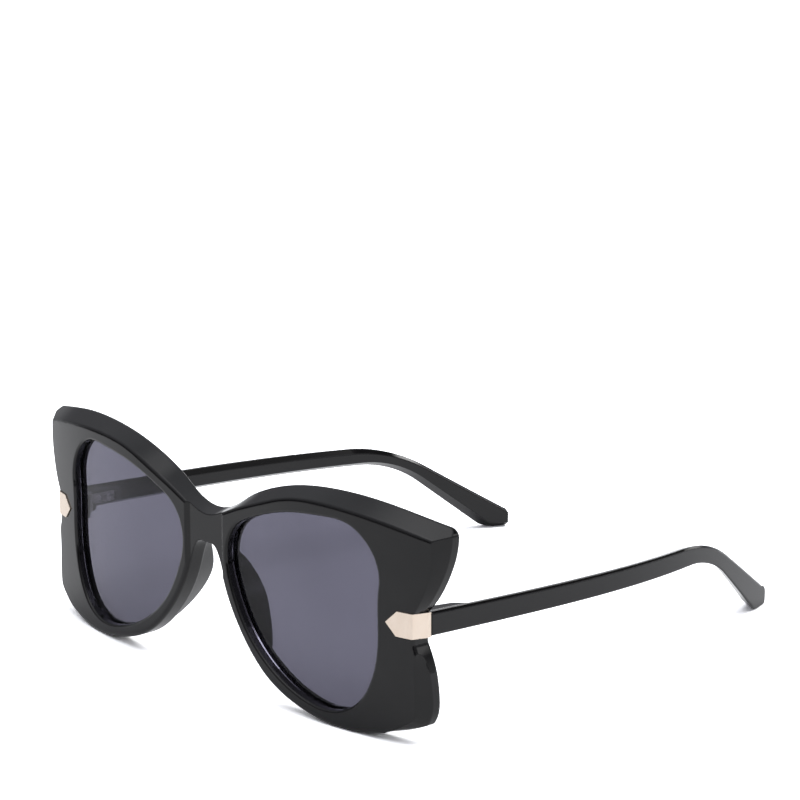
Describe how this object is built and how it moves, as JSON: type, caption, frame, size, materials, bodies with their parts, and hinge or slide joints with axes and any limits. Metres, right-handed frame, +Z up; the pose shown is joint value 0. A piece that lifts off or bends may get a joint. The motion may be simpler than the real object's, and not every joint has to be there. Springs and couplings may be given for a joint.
{
  "type": "sunglasses",
  "caption": "Butterfly sunglasses with a bevelled glossy frame, tinted lenses, metal corner caps and folding temples.",
  "frame": {"origin": "on the ground, below the middle of the whole object's box", "axes": "+X towards the wearer's left, +Y backwards along the open temples, +Z up; the front looks along -Y"},
  "size_m": [0.1522, 0.1464, 0.0561],
  "materials": {
    "front": "polished black acetate",
    "temple": "polished black acetate",
    "lens": "grey-violet tinted",
    "cap": "polished pale rose gold",
    "hinge": "satin nickel",
    "screw": "bright steel"
  },
  "bodies": {
    "front": {"front_frame": "front", "lens_left": "lens", "lens_right": "lens", "corner_cap_left": "cap", "corner_cap_right": "cap", "front_hinge_left": "hinge", "front_hinge_right": "hinge", "hinge_screw_left": "screw", "hinge_screw_right": "screw", "front_hinge_screws_left": "screw", "front_hinge_screws_right": "screw"},
    "temple_left_arm": {"temple_left": "temple", "temple_hinge_left": "hinge", "temple_hinge_screws_left": "screw"},
    "temple_right_arm": {"temple_right": "temple", "temple_hinge_right": "hinge", "temple_hinge_screws_right": "screw"}
  },
  "joints": [
    {"name": "fold_left", "type": "hinge", "parent": "front", "child": "temple_left_arm", "pos_m": [0.0636, -0.0607, 0.029], "axis": [0, 0, 1], "range_deg": [0, 81]},
    {"name": "fold_right", "type": "hinge", "parent": "front", "child": "temple_right_arm", "pos_m": [-0.0636, -0.0607, 0.029], "axis": [0, 0, -1], "range_deg": [0, 68]}
  ]
}
